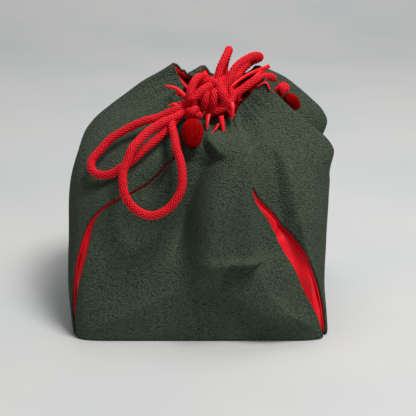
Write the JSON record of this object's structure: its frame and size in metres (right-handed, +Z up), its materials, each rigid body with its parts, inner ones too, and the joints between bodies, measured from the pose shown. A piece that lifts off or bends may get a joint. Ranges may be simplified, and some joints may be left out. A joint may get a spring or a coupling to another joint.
{
  "type": "fabric gift sack",
  "caption": "Square-based drawstring gift sack of dark green crepe with a red satin lining, tied shut at the top with a bow of red braided cord.",
  "frame": {"origin": "middle of the square base, on its underside", "axes": "+Z up, -Y towards the front petal, where the bow hangs, +X to the right seen from the front"},
  "size_m": [0.1404, 0.1342, 0.1391],
  "materials": {
    "crepe": "pebbly woven crepe",
    "satin": "satin",
    "cord": "braided",
    "tuft": "cut fibre ends",
    "board": "grey board"
  },
  "bodies": {
    "root": {"base_panel": "crepe", "base_board": "board", "base_lining": "satin", "front_petal": "crepe", "right_petal": "crepe", "back_petal": "crepe", "left_petal": "crepe", "front_lining": "satin", "right_lining": "satin", "back_lining": "satin", "left_lining": "satin", "front_right_gusset": "satin", "back_right_gusset": "satin", "back_left_gusset": "satin", "front_left_gusset": "satin", "front_ribbon_loops": "satin", "right_ribbon_loops": "satin", "back_ribbon_loops": "satin", "left_ribbon_loops": "satin", "lower_drawcord": "cord", "upper_drawcord": "cord", "bow_knot": "cord", "left_tail": "cord", "right_tail": "cord"},
    "left_bow": {"left_upper_loop": "cord", "left_lower_loop": "cord"},
    "right_bow": {"right_front_loop": "cord", "right_back_loop": "cord"},
    "left_tassel": {"left_end_knot": "cord", "left_tuft": "tuft"},
    "right_tassel": {"right_end_knot": "cord", "right_tuft": "tuft"}
  },
  "joints": [
    {"name": "left_bow_lift", "type": "hinge", "parent": "root", "child": "left_bow", "pos_m": [-0.012, -0.025, 0.112], "axis": [-1, 0, 0], "range_deg": [0, 60]},
    {"name": "right_bow_fold", "type": "hinge", "parent": "root", "child": "right_bow", "pos_m": [0.014, -0.017, 0.115], "axis": [1, 0, 0], "range_deg": [0, 60]},
    {"name": "left_tassel_lift", "type": "hinge", "parent": "root", "child": "left_tassel", "pos_m": [-0.005, -0.028, 0.116], "axis": [-1, 0, 0], "range_deg": [0, 60]},
    {"name": "right_tassel_lift", "type": "hinge", "parent": "root", "child": "right_tassel", "pos_m": [0.04, 0.002, 0.121], "axis": [0, -1, 0], "range_deg": [0, 60]}
  ]
}
